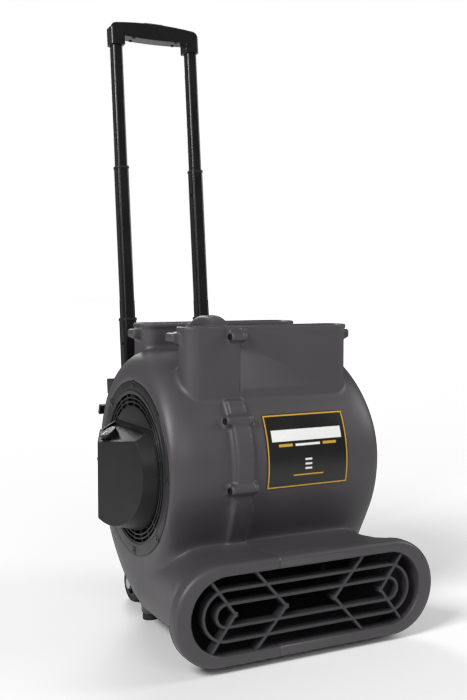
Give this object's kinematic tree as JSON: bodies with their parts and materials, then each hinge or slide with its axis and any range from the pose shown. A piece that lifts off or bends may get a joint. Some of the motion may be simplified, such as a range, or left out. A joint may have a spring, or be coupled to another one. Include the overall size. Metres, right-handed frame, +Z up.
{
  "type": "centrifugal air mover with trolley handle",
  "caption": "Centrifugal air mover with a scroll drum, flat racetrack outlet, side control hub, stacking towers, small rear wheels and a telescopic trolley handle; blows air along floors.",
  "frame": {"origin": "on the floor under the middle of the object's box", "axes": "+Z up, outlet facing -Y, motor and control hub on -X, trolley handle at +Y"},
  "size_m": [0.452, 0.5413, 1.025],
  "materials": {
    "housing": "fine moulded grain",
    "black_plastic": "satin",
    "blower_plastic": "satin",
    "tube_steel": "satin black",
    "screw_steel": "zinc plated",
    "black_screw": "black oxide",
    "motor_paint": "satin",
    "lamination": "raw",
    "bearing_steel": "polished",
    "rotor_alloy": "cast",
    "label": "gloss",
    "pointer": "bright",
    "rubber": "matte"
  },
  "bodies": {
    "chassis": {"housing_left": "housing", "housing_right": "housing", "seam_screws": "black_screw", "outlet_grille": "black_plastic", "label_plate": "label", "inlet_grille_left": "black_plastic", "inlet_grille_right": "black_plastic", "inlet_grille_screws": "black_screw", "inlet_cones": "black_plastic", "motor_mount": "screw_steel", "motor_can": "motor_paint", "motor_end_brackets": "rotor_alloy", "motor_bearings": "bearing_steel", "motor_stator": "lamination", "motor_screws": "screw_steel", "control_hub": "black_plastic", "control_panel": "black_plastic", "rotary_switch": "black_plastic", "run_capacitor": "black_plastic", "cord_gland": "black_plastic", "cord_hooks": "black_plastic", "handle_outer_tube_left": "tube_steel", "handle_outer_tube_right": "tube_steel", "handle_outer_collars": "black_plastic", "handle_upper_bracket": "black_plastic", "handle_lower_bracket": "black_plastic", "handle_bracket_screws": "black_screw", "wheel_axle": "screw_steel", "axle_spacers": "black_plastic", "axle_caps": "screw_steel", "rubber_feet": "rubber", "foot_screws": "screw_steel"},
    "blower": {"motor_rotor": "rotor_alloy", "motor_shaft": "bearing_steel", "blower_wheel": "blower_plastic", "wheel_retainer": "screw_steel"},
    "speed_knob_body": {"speed_knob": "black_plastic", "knob_pointer": "pointer"},
    "wheel_left": {"wheel_rim_left": "black_plastic", "tyre_left": "rubber"},
    "wheel_right": {"wheel_rim_right": "black_plastic", "tyre_right": "rubber"},
    "middle_stage": {"handle_middle_tube_left": "tube_steel", "handle_middle_tube_right": "tube_steel", "handle_middle_collars": "black_plastic", "handle_middle_guides": "black_plastic"},
    "upper_stage": {"handle_inner_tube_left": "tube_steel", "handle_inner_tube_right": "tube_steel", "handle_inner_guides": "black_plastic", "grip_lower": "black_plastic", "grip_upper": "black_plastic", "grip_screws": "black_screw", "button_spring": "screw_steel"},
    "release": {"release_button": "black_plastic", "release_rods": "screw_steel"}
  },
  "joints": [
    {"name": "blower_spin", "type": "hinge", "parent": "chassis", "child": "blower", "pos_m": [0, -0.03084, 0.257], "axis": [1, 0, 0], "continuous": true},
    {"name": "knob_turn", "type": "hinge", "parent": "chassis", "child": "speed_knob_body", "pos_m": [-0.2047, -0.00684, 0.3041], "axis": [-0.5, 0, 0.866], "range_deg": [-135, 0]},
    {"name": "wheel_left_spin", "type": "hinge", "parent": "chassis", "child": "wheel_left", "pos_m": [-0.121, 0.09916, 0.031], "axis": [1, 0, 0], "continuous": true},
    {"name": "wheel_right_spin", "type": "hinge", "parent": "chassis", "child": "wheel_right", "pos_m": [0.133, 0.09916, 0.031], "axis": [1, 0, 0], "continuous": true},
    {"name": "middle_slide", "type": "slide", "parent": "chassis", "child": "middle_stage", "axis": [0, 0.0976, 0.9952], "range_m": [-0.22, 0]},
    {"name": "upper_slide", "type": "slide", "parent": "middle_stage", "child": "upper_stage", "axis": [0, 0.0976, 0.9952], "range_m": [-0.215, 0]},
    {"name": "button_press", "type": "slide", "parent": "upper_stage", "child": "release", "axis": [0, -0.0976, -0.9952], "range_m": [0, 0.004], "stiffness_N_per_m": 600, "springref_m": -0.003, "deforming": ["button_spring"]}
  ]
}
